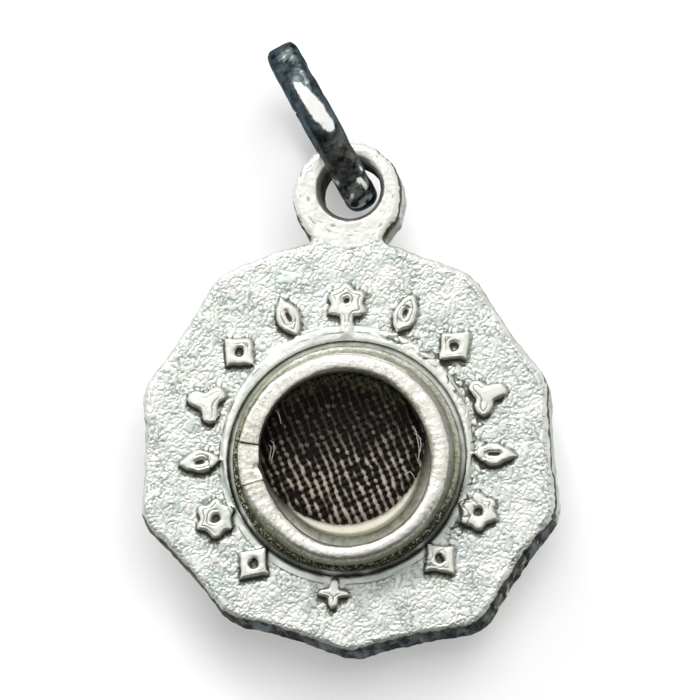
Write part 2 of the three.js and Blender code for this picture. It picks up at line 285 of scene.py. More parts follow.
def polishedRim(name):
    # Silver alloy, spun and burnished: a bright band where the tool ran over the crown, and
    # olive-brown tarnish in mottled patches down its wall, with painted shade that darkens the
    # lower side and the foot to nearly black.
    look = rimLook
    material, add, shader, at, tarnish = startMaterial(name, "tarnish")
    mottle = add("TexNoise", {"Vector": at, "Scale": 1 / look["mottleSize"],
                              "Detail": 4.0, "Roughness": 0.65})
    fleck = add("TexNoise", {"Vector": at, "Scale": 1 / look["fleckSize"], "Detail": 2.0})
    centred = add("Math", {0: mottle, 1: 0.5}, operation="SUBTRACT")
    most = look["mottled"]
    # the tarnish reading carries painted shade too, heaviest low down and at the foot
    strength = add("MapRange", {0: tarnish}, [(0.1, 0.5 * most), (0.45, most)])
    uneven = add("Math", {0: centred, 1: strength, 2: tarnish}, operation="MULTIPLY_ADD")
    base = add("ValToRGB", {0: uneven}, [(0.1, look["bright"]), (0.34, look["dull"]),
                                         (0.62, look["olive"]), (1.0, look["soot"])])
    flecks = add("MapRange", {0: fleck}, [(0.53, 0), (0.64, 0.85)])
    onTarnish = add("MapRange", {0: uneven}, [(0.42, 0), (0.62, 1)])
    share = add("Math", {0: flecks, 1: onTarnish}, operation="MULTIPLY")
    tone = add("Mix", {0: share, 6: base, 7: linear(look["spot"])}, out=2, data_type="RGBA")
    rough = add("MapRange", {0: uneven}, [(0.1, look["gloss"]), (0.9, look["matt"])])
    bump = add("Bump", {"Height": mottle, "Strength": 0.5, "Distance": look["mottleDepth"] * mm})
    feed(shader, {"Base Color": tone, "Metallic": 1.0, "Roughness": rough, "Normal": bump})
    return material


cupLook = {
    "dull": "#9fa091", "bright": "#d0d0c6",
    "cloudSize": 0.25, "lineSize": 0.07, "lineDepth": 0.02,
}


def drawnCup():
    # Thin silver-plated brass, drawn in a press: a dull grey wall with fine lines up it.
    look = cupLook
    material, add, shader, at = startMaterial("drawnPlatedBrass")
    fine = 1 / look["lineSize"]
    cloud = add("TexNoise", {"Vector": at, "Scale": 1 / look["cloudSize"], "Detail": 3.0})
    drawn = add("Mapping", {"Vector": at, "Scale": (fine, 0.8, fine)})
    lines = add("TexNoise", {"Vector": drawn, "Scale": 1.0, "Detail": 2.0})
    base = add("ValToRGB", {0: cloud}, [(0.35, look["dull"]), (0.65, look["bright"])])
    rough = add("MapRange", {0: cloud}, [(0.3, 0.4), (0.7, 0.56)])
    bump = add("Bump", {"Height": lines, "Strength": 0.4, "Distance": look["lineDepth"] * mm})
    feed(shader, {"Base Color": base, "Metallic": 1.0, "Roughness": rough, "Normal": bump})
    return material


cardLook = {
    "shade": "#f1ead6", "light": "#fdf9ee",
    "pulpSize": 0.33, "pulpDepth": 0.04, "ior": 1.47,
}


def creamCard():
    # Rag paper card, pressed: a warm, matt cream with faint cloudy fibres.
    look = cardLook
    material, add, shader, at = startMaterial("pressedRagCard")
    pulp = add("TexNoise", {"Vector": at, "Scale": 1 / look["pulpSize"], "Detail": 5.0,
                            "Roughness": 0.7})
    base = add("ValToRGB", {0: pulp}, [(0.35, look["shade"]), (0.65, look["light"])])
    rough = add("MapRange", {0: pulp}, [(0.3, 0.8), (0.7, 0.95)])
    bump = add("Bump", {"Height": pulp, "Strength": 0.5, "Distance": look["pulpDepth"] * mm})
    feed(shader, {"Base Color": base, "Roughness": rough, "IOR": look["ior"], "Normal": bump})
    return material


clothLook = {
    # the gap colour is painted shade, the near black between the threads
    "gap": "#110f0c", "dark": "#1f1c16", "brown": "#5a4d42", "dusty": "#8a8073",
    "pale": "#b9afa3",
    "moss": "#56583f",  # the felted upper edge
    "fibreSize": 0.045, "fibreDepth": 0.03,
    "sheen": 0.2,  # specular level
    "ior": 1.54,
}


def wovenWool():
    # Habit wool, plain weave: a very dark brown cloth, dusty grey-tan along the threads that rub,
    # with a painted highlight on the raised threads of the lower half and painted shade over the
    # upper half and in the gaps.
    look = clothLook
    material, add, shader, at, height, dust, tone, felted = startMaterial(
        "plainWovenWool", "threadHeight", "dust", "threadTone", "felted")
    fibre = add("TexNoise", {"Vector": at, "Scale": 1 / look["fibreSize"], "Detail": 2.0})
    thread = add("ValToRGB", {0: tone}, [(0.0, look["dark"]), (1.0, look["brown"])])
    tuft = add("Math", {0: fibre, 1: felted}, operation="MULTIPLY")
    body = add("Mix", {0: tuft, 6: thread, 7: linear(look["moss"])}, out=2, data_type="RGBA")
    frayed = add("MapRange", {0: fibre}, [(0.3, 0.45), (0.62, 1)])
    # dust and a painted highlight on the raised threads
    dusty = add("Math", {0: dust, 1: frayed}, operation="MULTIPLY")
    dustTone = add("ValToRGB", {0: dusty}, [(0.3, look["dusty"]), (0.95, look["pale"])])
    cover = add("MapRange", {0: dusty}, [(0.05, 0), (0.5, 1)])
    dusted = add("Mix", {0: cover, 6: body, 7: dustTone}, out=2, data_type="RGBA")
    raised = add("MapRange", {0: height}, [(0.3, 0), (0.8, 1)], interpolation_type="SMOOTHSTEP")
    # painted shade: the low parts between the threads go near black
    final = add("Mix", {0: raised, 6: linear(look["gap"]), 7: dusted}, out=2, data_type="RGBA")
    bump = add("Bump", {"Height": fibre, "Strength": 0.6, "Distance": look["fibreDepth"] * mm})
    feed(shader, {"Base Color": final, "Roughness": 0.9, "IOR": look["ior"],
                  "Specular IOR Level": look["sheen"], "Normal": bump})
    return material


fibreLook = {"shade": "#a89f90", "light": "#ded8ca", "fuzzSize": 0.11, "ior": 1.54}


def looseFibre():
    # Undyed wool fibre, spun: a pale matt thread.
    look = fibreLook
    material, add, shader, at = startMaterial("spunPaleFibre")
    fuzz = add("TexNoise", {"Vector": at, "Scale": 1 / look["fuzzSize"], "Detail": 2.0})
    base = add("ValToRGB", {0: fuzz}, [(0.35, look["shade"]), (0.65, look["light"])])
    feed(shader, {"Base Color": base, "Roughness": 0.85, "IOR": look["ior"]})
    return material


ringLook = {
    "black": "#0e1011", "slate": "#5b656a", "brown": "#74736a", "silver": "#f4f4f0",
    "grey": "#87908e",
    "edge": "#969da1",  # the sulphide stays dull at a glancing angle
    "patchSize": 0.45, "scuffSize": 0.27, "scuffDepth": 0.06,
    "scuffed": 0.9,  # how far the scuffs shift the edge of the bare metal
    "dulled": 0.18,  # roughness added at the lower end
}


def blackenedWire():
    # Silver wire, darkened with sulphur and hammered: slate black, bare silver where it rubs, with
    # a painted highlight of bright silver along the front of the ring and painted glints at its
    # lower end.
    look = ringLook
    material, add, shader, at, worn, warm, rubbed = startMaterial(
        "blackenedSilverWire", "worn", "warm", "slate")
    patch, scuff = [add("TexNoise", {"Vector": at, "Scale": 1 / look[size], "Detail": 4.0,
                                     "Roughness": 0.6})
                    for size in ("patchSize", "scuffSize")]
    patched = add("Math", {0: patch, 1: rubbed}, operation="ADD")
    tone = add("ValToRGB", {0: patched}, [(0.42, look["black"]), (0.85, look["slate"])])
    streak = add("MapRange", {0: scuff}, [(0.4, 0), (0.68, 1)])
    shares = [add("Math", {0: warm, 1: streak}, operation="MULTIPLY")]
    centred = add("Math", {0: scuff, 1: 0.5}, operation="SUBTRACT")
    # the worn reading carries the wear, the painted highlight and the painted glints
    edge = add("Math", {0: centred, 1: look["scuffed"], 2: worn}, operation="MULTIPLY_ADD")
    for low, high in ((0.25, 0.5), (0.5, 0.62)):
        shares.append(add("MapRange", {0: edge}, [(low, 0), (high, 1)],
                          interpolation_type="SMOOTHSTEP"))
    for share, name in zip(shares, ("brown", "grey", "silver")):  # each lies over the last
        tone = add("Mix", {0: share, 6: tone, 7: linear(look[name])}, out=2, data_type="RGBA")
    rough = add("MapRange", {0: edge}, [(0.2, 0.36), (0.7, 0.22)])
    duller = add("Math", {0: warm, 1: look["dulled"], 2: rough}, operation="MULTIPLY_ADD")
    bump = add("Bump", {"Height": scuff, "Strength": 0.45, "Distance": look["scuffDepth"] * mm})
    feed(shader, {"Base Color": tone, "Metallic": 1.0, "Specular Tint": linear(look["edge"]),
                  "Roughness": duller, "Normal": bump})
    return material


plateLook = {
    "voxel": 0.058,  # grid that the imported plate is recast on, halved again over the face
    "softening": 3,
    "markSoftening": 7,  # further rounding of the cast marks
    "markWander": 0.056,
    "grainSize": 0.2,  # lattice of the stipple, whose grains come out about 0.15 across
    "grainLine": 0.17, "grainDepth": 0.016,
    "borderAt": 0.26,  # raised line inside the edge, worn away on the left
    "borderWidth": 0.07, "borderHeight": 0.03,
    "handWork": 0.018,  # unevenness of the smooth parts
    "edgeWander": 0.06,
    "strokeLength": 0.42,  # file strokes round the ear
    "strokeWidth": 0.09, "strokeDepth": 0.01,
    "contourAt": 0.17,  # line sunk inside each mark's edge
    "contourWidth": 0.035, "contourDepth": 0.02,
    "bruiseDepth": 0.03,
    "grime": 0.24,  # how far below a ledge the painted shadow reaches
}
grooveEdge = 4.85  # from the capsule's middle to the wall of the groove round it
plateEdge = 5.0  # outside it the plate's own edge and marks begin
earEdge = 2.2  # from the ear's middle
holeEdge = 1.6  # from the middle of its hole, past the countersink


def awayFrom(spot, x, y):
    return np.hypot(x - spot[0], y - spot[1])


def noiseOn(chosen, points, size, seed):  # noise at the chosen points alone, 0 elsewhere
    values = np.zeros(len(points))
    values[chosen] = noiseAt(points[chosen], size, seed)
    return values


def grimeUnderLedges(x, y, level, reach):  # painted shadow: 1 where higher metal stands close above
    cell, margin = 0.03, 20
    column = np.round((x - x.min()) / cell).astype(int) + margin
    row = np.round((y - y.min()) / cell).astype(int) + margin
    heights = np.zeros((column.max() + 2 * margin, row.max() + 2 * margin))
    np.maximum.at(heights, (column, row), level)
    for _ in range(2):  # closes the gaps between points
        grown = np.maximum(heights[1:-1, 1:-1], 0)
        for dx, dy in ((0, 1), (2, 1), (1, 0), (1, 2)):
            beside = heights[dx:dx + grown.shape[0], dy:dy + grown.shape[1]]
            grown = np.where(grown > 0, grown, beside)
        heights[1:-1, 1:-1] = grown
    grime = np.zeros(len(x))
    for share in (0.35, 0.6, 0.8, 1.0):
        up = int(round(reach * share / cell))
        rise = heights[column + int(round(0.3 * up)), row + up] - level
        grime = np.maximum(grime, ease(0.06, 0.14, rise) * (1.15 - 0.5 * share))
    return unit(grime)


def recastPlate():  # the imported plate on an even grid, finer over the face
    look = plateLook
    rough = newObject("plateDraft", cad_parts["medal_body"].data.copy())
    remesh = rough.modifiers.new("recast", "REMESH")
    remesh.mode = "VOXEL"
    remesh.voxel_size = look["voxel"] * mm
    remesh.use_smooth_shade = True
    graph = bpy.context.evaluated_depsgraph_get()
    mesh = bpy.data.meshes.new_from_object(rough.evaluated_get(graph))
    bpy.data.objects.remove(rough)
    mesh.materials.clear()
    mesh.name = "medalPlate"
    points = readAll(mesh.vertices, "co")
    soften(points, readAll(mesh.edges, "vertices", 2, np.int64), look["softening"])
    movePoints(mesh, points)
    points = points / mm
    refined = (-points[:, 1] > 1.6) & (awayFrom(capsuleAt, points[:, 0], points[:, 2]) > 4.6)
    refined &= readAll(mesh.vertex_normals, "vector")[:, 1] < -0.1
    edit = bmesh.new()
    edit.from_mesh(mesh)
    edit.verts.ensure_lookup_table()
    chosen = {e for v in np.flatnonzero(refined) for e in edit.verts[v].link_edges}
    bmesh.ops.subdivide_edges(edit, edges=list(chosen), cuts=1, use_grid_fill=True)
    edit.to_mesh(mesh)
    edit.free()
    return mesh


def buildPlate():
    look = plateLook
    mesh = recastPlate()
    edges = readAll(mesh.edges, "vertices", 2, np.int64)
    points = readAll(mesh.vertices, "co") / mm
    soften(points, edges, 2)
    x, y = points[:, 0], points[:, 2]
    fromEar = awayFrom(earAt, x, y)
    raised = (-points[:, 1] > fieldLevel + 0.01) & (fromEar > 2.3)
    raised &= awayFrom(capsuleAt, x, y) > 5.35
    soften(points, edges, look["markSoftening"], raised)
    movePoints(mesh, points * mm)
    normals = readAll(mesh.vertex_normals, "vector")
    steep = 1 - np.abs(normals[:, 1])
    level = -points[:, 1]
    flat = np.stack([x, y, np.zeros(len(x))], axis=1)

    fromCapsule = awayFrom(capsuleAt, x, y)
    fromHole = awayFrom(earHoleAt, x, y)
    outside = (steep > 0.8) & (level > 0.6) & (level < 1.2)
    outside &= (fromCapsule > plateEdge) & (fromHole > holeEdge)
    front = (level > 1.5) & (normals[:, 1] < -0.2)
    farAway = 9.0
    fromEdge = np.full(len(x), farAway)
    fromEdge[front] = distanceTo(flat[outside], flat[front], farAway)
    markWall = raised & (steep > 0.45) & (fromEdge > 0.4)
    nearMark = (level > fieldLevel - 0.05) & (fromCapsule > 5.2) & (fromEar > earEdge) & front
    fromMark = np.full(len(x), 1.0)
    fromMark[nearMark] = distanceTo(flat[markWall], flat[nearMark], 1.0)
    onMark = (level > fieldLevel + 0.06) & raised

    # The field's stipple: worm-like sunk lines where the noise crosses zero, grains between
    onField = ease(0.0, 0.12, fromEdge) * ease(0.08, 0.03, np.abs(level - fieldLevel))
    onField *= ease(4.92, 5.05, fromCapsule) * ease(1.95, earEdge, fromEar) * front
    main = noiseOn(front, flat, look["grainSize"], 1)
    grain = main + 0.5 * noiseOn(front, flat, look["grainSize"] * 0.5, 2)
    sunk = bell(grain, 0, look["grainLine"])
    rise = onField * look["grainDepth"] * (0.6 * unit(np.abs(grain) * 2.2) - sunk)

    # The border line and the hand-worked unevenness
    wander = noiseOn(front, flat, 1.1, 3)
    slow = noiseOn(front, flat, 0.5, 4)
    border = bell(fromEdge - 0.12 * wander, look["borderAt"], look["borderWidth"])
    border *= ease(0.1, 0.6, 0.7 * slow + 0.5 * x / 8 + 0.1 * np.abs(y) / 8)
    border *= ease(5.3, 5.6, fromCapsule) * ease(2.1, 2.4, fromEar) * front
    rise += border * look["borderHeight"]
    rise += front * look["handWork"] * (slow + 0.5 * main)
    contour = bell(fromMark, look["contourAt"], look["contourWidth"]) * onMark
    contour *= ease(-0.25, 0.2, wander)
    rise -= contour * look["contourDepth"]

    # Short file strokes round the ear, and dents in the collar on the right
    onEar = front & (fromEar < 2.6) & (fromHole > 1.45)
    turn = np.arctan2(y[onEar] - earHoleAt[1], x[onEar] - earHoleAt[0])
    turn *= 1.9 / look["strokeLength"]
    strokes = np.zeros(len(x))
    strokes[onEar] = ribNoise(fromHole[onEar] / look["strokeWidth"], turn, 5)
    strokes[onEar] = ease(0.36, 0.52, strokes[onEar])
    strokes *= ease(1.45, holeEdge, fromHole)
    rise -= strokes * look["strokeDepth"]
    onCollar = front & (fromCapsule > grooveEdge) & (fromCapsule < 5.45)
    bruise = onCollar * bell(noiseOn(onCollar, flat, 0.33, 8), 0, 0.12)
    bruise *= ease(0.5, 3.5, x + 0.2 * y)
    rise -= bruise * look["bruiseDepth"]
    points[:, 1] -= rise

    # The outline and the marks' outlines wander, and the side is filed by hand
    filed = ease(0.3, 0.0, fromEdge) * front
    filed += (steep > 0.6) * (fromCapsule > plateEdge) * (fromHole > holeEdge)
    ragged = (filed > 0) & (fromMark > 0.3)
    shift = noiseAt(points[ragged] * [1, 0.5, 1], 0.45, 6) + 0.45 * noiseAt(points[ragged], 0.17, 7)
    shift *= unit(filed[ragged]) * look["edgeWander"]
    points[ragged] += normals[ragged] * [1, 0, 1] * shift[:, None]
    warped = raised & (fromMark < 0.5)
    for axis, seed in ((0, 9), (2, 10)):
        points[warped, axis] += noiseAt(flat[warped], 0.34, seed) * look["markWander"]
    movePoints(mesh, points * mm)

    # Tarnish and painted shade: below the mean level round about, in sunk lines, under ledges, in
    # the groove round the capsule, and down every wall
    level = -points[:, 1]
    around = level.copy()
    for _ in range(16):
        around = neighbourMean(around, edges)
    inGroove = fromCapsule < grooveEdge
    low = ease(0.5, -3.1, y)  # the groove round the capsule has less painted shade at the top
    cavity = unit((around - level - 0.012) / 0.05) * front
    cavity *= np.where(inGroove, 0.25 + 0.75 * low, 1)
    # painted shadow below the marks' lower edges
    ledge = grimeUnderLedges(x, y, level, look["grime"])
    ledge *= front * (fromCapsule > 4.9) * (fromEar > earEdge)
    # painted shade in the groove round the capsule, heaviest at the bottom
    groove = ease(4.82, 4.7, fromCapsule) * front
    groove *= (0.08 + 0.92 * low) * ease(-0.9, 0.0, slow)
    # painted shade: a dark line on the field round the foot of each mark
    left = bell(fromMark, 0.05, 0.07) * (level < fieldLevel + 0.1) * nearMark * 0.4
    seat = bell(fromCapsule - 0.05 * wander, 4.98, 0.035) * ease(-0.35, 0.2, slow) * front
    lines = 0.42 * sunk * onField * (0.3 + 0.8 * ease(-0.35, 0.35, wander)) + 0.42 * strokes
    lines += 0.6 * contour + 0.75 * bruise * ease(-0.2, 0.3, slow) + 0.62 * seat
    hollow = unit(lines + cavity + 0.7 * ledge + left + 0.65 * groove)
    proud = unit((level - around) / 0.02) * front
    smooth = (level > fieldLevel + 0.06) | (fromEar < 2.1)
    polish = unit(smooth * (0.65 - 0.5 * (fromCapsule < 5.4)) + proud * 0.6)
    polish *= front * (1 - groove)
    normals = readAll(mesh.vertex_normals, "vector")
    behind = normals[:, 1] > 0.6
    brushed = ribNoise((x[behind] + 0.3 * y[behind]) / 0.14, y[behind] / 2.2, 31)
    polish[behind] = unit(0.6 + 0.5 * brushed + 0.3 * noiseAt(flat[behind], 1.4, 32))
    # Painted shade on the walls, heaviest on the undersides and lighter on the right side, over
    # tarnish
    steepness = ease(0.1, 0.6, 1 - np.abs(normals[:, 1])) * (level > 0.1)
    patches = noiseOn(steepness > 0.05, points, 0.6, 18)
    rightward = ease(0.76, 0.93, normals[:, 0] + 0.25 * ease(6, 7, y))
    downward = ease(0.05, 0.5, -normals[:, 2] + 0.2 * patches)  # painted shade, heaviest on the undersides
    downward *= 1 - 0.85 * ease(1.5, 1.2, level) * rightward
    frontLine = ease(1.36, 1.66, level + 0.08 * patches)
    downward = np.maximum(downward, 0.5 * rightward * frontLine)
    downward *= 1 - 0.42 * ease(0.15, 0.6, -normals[:, 0])
    wall = 0.22 + 0.78 * downward
    wall = np.where(front & inGroove, 0.04 + 0.96 * low, wall)
    wall = np.where(fromHole < holeEdge, ease(1.75, 1.35, level), wall)
    wall = steepness * np.where(raised & (fromMark < 0.5), 0.12 + 0.2 * downward, wall)
    depth = ease(1.72, 1.55, level + 0.12 * patches) * (1 - 0.8 * rightward)
    setAttributes(mesh, hollow=hollow, polish=polish, wall=wall, depth=depth)
    mesh.shade_smooth()
    plate = newObject("medalPlate", mesh)
    mesh.materials.append(castSilver())
    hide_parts("medal_body")
    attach(plate, "medal")
    return plate


plate = buildPlate()
print("plate built", len(plate.data.vertices))


rimSize = {
    "beadCentre": 3.79, "beadLevel": 2.88, "beadRadius": 0.33,
    "wallFoot": 4.25, "wallLevel": 2.14,
    "footTop": 1.91, "footFlare": 0.2, "footRadius": 4.45, "footBottom": 1.71,
    "slotInner": 3.77, "slotOuter": 3.98, "slotTop": 2.64, "lipUnder": 2.44, "lipInner": 3.625,
    "segmentAngle": 182, "segmentSpan": 24, "seam": 0.605, "dressed": 0.08,
    "squareness": 2.15,  # of the crown at the bottom, where 2 is round
    "broad": 1.4,  # how much squarer it is on the left, the top and the right
    "leftBroad": 3,  # and more so on the left
    "uneven": 0.035,  # the tool's wander along the crown
    "beaten": 0.03,
    "crownDrop": 0.26,  # the crown sits a little below the middle of its foot
    "leftInward": 0.22,  # the rolled edge comes further over the window at the lower left,
    "rightInward": 0.14,  # and again at the upper right
    "crownInward": 0.16,  # where the whole crown leans in, at the lower left
    "nickWidth": 0.09, "nickDepth": 0.07,
}
outerPoints = 49  # of a section, from the lip over the crown to the foot


def squared(value, power):
    return math.copysign(abs(value) ** power, value)


def rimSection(squareness):
    size = rimSize
    power = 2 / squareness
    points = []
    for i in range(33):  # the bead, from its inner underside over the crown to the outside
        turn = math.radians(215 - 215 * i / 32)
        a, b = math.cos(turn), math.sin(turn)
        if b > 0:
            a, b = squared(a, power), squared(b, power)
        points.append((size["beadCentre"] + size["beadRadius"] * a,
                       size["beadLevel"] + size["beadRadius"] * b))
    points += np.linspace(points[-1], (size["wallFoot"], size["wallLevel"]), 9)[1:].tolist()
    points += arc(size["wallFoot"], size["footTop"], size["footFlare"], 60, 0, 8)
    points += [(size["footRadius"], size["footBottom"]), (size["slotOuter"], size["footBottom"]),
               (size["slotOuter"], size["slotTop"]), (size["slotInner"], size["slotTop"]),
               (size["slotInner"], size["lipUnder"]), (size["lipInner"], size["lipUnder"])]
    return np.array(points)


def rimStretch(name, fromAngle, toAngle, steps, dressed):
    size = rimSize
    top = size["beadLevel"] + size["beadRadius"] - size["dressed"]
    rows, sections = [], []
    for i in range(steps + 1):
        angle = math.radians(fromAngle + (toAngle - fromAngle) * i / steps)
        turn = math.degrees(angle) % 360
        a, b = math.cos(angle), math.sin(angle)
        broad = size["broad"] + size["leftBroad"] * ease(-0.2, -0.9, a)
        broad *= ease(-0.75, 0.1, b)  # narrow at the bottom
        section = rimSection(size["squareness"] + broad)
        radius, level = section[:, 0].copy(), section[:, 1].copy()
        if dressed:
            filed = np.minimum(level, top - 0.3 * (level - top + 0.03) ** 2)
            level = np.where(level > top - 0.03, filed, level)
        shake = noise.noise(Vector((a * 4, b * 4, 1.7))) * size["uneven"]
        ripple = noise.noise(Vector((a * 14, b * 14, 4.1))) * size["uneven"] * 0.5
        high = ease(2.3, 2.9, section[:, 1]) * (section[:, 0] > 3.5)
        inward = size["leftInward"] * bell(turn, 202, 44)
        inward += size["rightInward"] * bell((turn + 155) % 360, 180, 36)
        radius -= inward * unit((size["beadCentre"] - section[:, 0]) / size["beadRadius"])
        leaning = size["crownInward"] * bell(turn, 222, 34)
        radius[:outerPoints] -= leaning * ease(2.0, 2.8, level[:outerPoints])
        radius += (shake + ripple) * high
        level -= np.abs(ripple) * high
        if dressed:  # a nick on the window side
            nick = bell(i / steps, 0.62, 0.13) * (section[:, 0] < 3.62) * (section[:, 1] > 2.5)
            radius += nick * size["nickWidth"]
            level -= nick * size["nickDepth"]
        drop = size["crownDrop"] * ease(1.9, 2.8, section[:, 1])
        drop[outerPoints:] = 0  # the slot stays round the cup
        x, y = capsuleAt[0] + radius * a, capsuleAt[1] + radius * b - drop
        rows.append(np.stack([x, y, level], axis=1))
        sections.append(section)
    rows = np.array(rows)
    shown = rows[:, :outerPoints].reshape(-1, 3)  # the hand-worked outside, clear of the slot
    beaten = unit(0.5 * noiseAt(shown, 0.42, 21) + 0.3 * noiseAt(shown, 0.2, 22) + 0.1)
    rows[:, :outerPoints, 2] -= (beaten * size["beaten"]).reshape(len(rows), outerPoints)
    obj = skin(name, rows, sharp=50)

    # Tarnish by the place on the section, and painted shade that grows low down
    points = readAll(obj.data.vertices, "co") / mm
    x, y = points[:, 0] - capsuleAt[0], points[:, 2] - capsuleAt[1]
    reach, level = np.array(sections).reshape(-1, 2).T
    down = -y / reach - 0.22 * x / 4
    # painted shade: darker towards the lower side of the rim
    low = np.interp(down, [-1, -0.4, 0.1, 0.65], [0.08, 0.2, 0.5, 1.0])
    fromCrown = reach + 0.1 * ease(0.5, 1.0, down)  # it comes further up at the lower left
    outer = ease(3.95, 4.18, fromCrown) * 0.45 + ease(2.8, 1.95, level) * 0.5
    outer *= low * (reach > 3.85)
    # painted shadow at the foot, heavier low down
    outer += ease(2.2, 2.05, level) * 0.3 * (reach > 3.9) * (0.2 + 0.8 * low)
    inner = ease(3.14, 2.95, level) * 0.36 + ease(2.9, 2.6, level) * 0.2
    inner *= (reach < 3.68) * ease(-3.6, -1.5, x)
    inner += 0.42 * ease(3.68, 3.5, reach) * ease(0.3, 0.9, (x + 0.5 * y) / 4)
    crest = 0.04 + (0.15 + 0.25 * low) * bell(reach, 4.24, 0.05)  # a dark line at the wall's foot, with painted shade heavier low down
    crest += 0.12 * unit(noiseAt(points, 0.7, 24) + 0.2)
    crest += 0.12 * ease(-1.5, -3.4, x)
    row = np.repeat(np.arange(steps + 1), len(section))
    fromSeam = np.minimum(row, steps - row) * abs(toAngle - fromAngle) / steps
    crest += 0.6 * bell(fromSeam, 0, 0.5)  # dark at both seams
    tarnish = np.where(reach > size["beadCentre"], outer, inner) + crest
    setAttributes(obj.data, tarnish=np.clip(tarnish, 0, 1.1))
    return obj


def buildRim():
    size = rimSize
    middle, half = size["segmentAngle"], size["segmentSpan"] / 2
    gap = half + size["seam"]
    rim = rimStretch("rolledRim", middle + gap, middle - gap + 360, 420, False)
    rim.data.materials.append(polishedRim("burnishedSilverRim"))
    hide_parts("rolled_rim")
    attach(rim, "medal")
    closing = rimStretch("rimSegment", middle - half, middle + half, 40, True)
    closing.data.materials.append(polishedRim("filedSilverSegment"))
    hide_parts("rim_segment")
    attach(closing, "medal")


buildRim()
print("rim built")


cupSize = {
    "outer": 3.95, "sheet": 0.15, "corner": 0.25, "bottom": 1.03, "top": 2.61,
    "lip": 0.03,  # the edge's bevel
}
middleHole = 0.02  # where a turned section stops short of its axis


def buildCup():
    size = cupSize
    outer, top, lip = size["outer"], size["top"], size["lip"]
    inside = outer - size["sheet"]
    bend, rise = outer - size["corner"], size["bottom"] + size["corner"]
    section = [(middleHole, size["bottom"])]
    section += arc(bend, rise, size["corner"], -90, 0, 8)
    section += [(outer, top - lip), (outer - lip, top), (inside + lip, top), (inside, top - lip)]
    section += arc(bend, rise, size["corner"] - size["sheet"], 0, -90, 6)
    section.append((middleHole, size["bottom"] + size["sheet"]))
    cup = turned("capsuleCup", section, capsuleAt)
    cup.data.materials.append(drawnCup())
    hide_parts("capsule_cup")
    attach(cup, "medal")


cardSize = {"radius": 2.82, "centre": (0.0, -0.56), "bottom": 1.21, "top": 1.71, "edge": 0.1}


def buildCard():
    size = cardSize
    edge = size["edge"]
    flatTo = size["radius"] - edge
    section = [(middleHole, size["bottom"])]
    section += arc(flatTo, size["bottom"] + edge, edge, -90, 0, 5)
    section += arc(flatTo, size["top"] - edge, edge, 0, 90, 5)
    section.append((middleHole, size["top"]))
    card = turned("backingCard", section, size["centre"])
    card.data.materials.append(creamCard())
    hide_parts("backing_disc")
    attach(card, "medal")


clothSize = {
    "centre": (-0.28, 0.06), "radius": 3.17, "bottom": 1.76, "top": 2.08,
    "warpStep": 0.31, "weftStep": 0.25, "lean": 22, "weftLean": 19,
    "grid": 0.026, "threadDepth": 0.17,
    "droop": 0.24,  # how far the edge bends down
    "tallest": 1.08,  # of a thread over the ground, where 1 is usual
}


def dome(values):  # the round back of a thread
    return np.sqrt(unit(1 - values ** 2))


def clothFaces(inside):  # the squares with all corners inside, in the numbers of the used points
    index = np.arange(inside.size).reshape(inside.shape)
    keep = inside[:-1, :-1] & inside[1:, :-1] & inside[:-1, 1:] & inside[1:, 1:]
    corners = [index[:-1, :-1], index[1:, :-1], index[1:, 1:], index[:-1, 1:]]
    return np.unique(np.stack(corners, axis=-1)[keep], return_inverse=True)


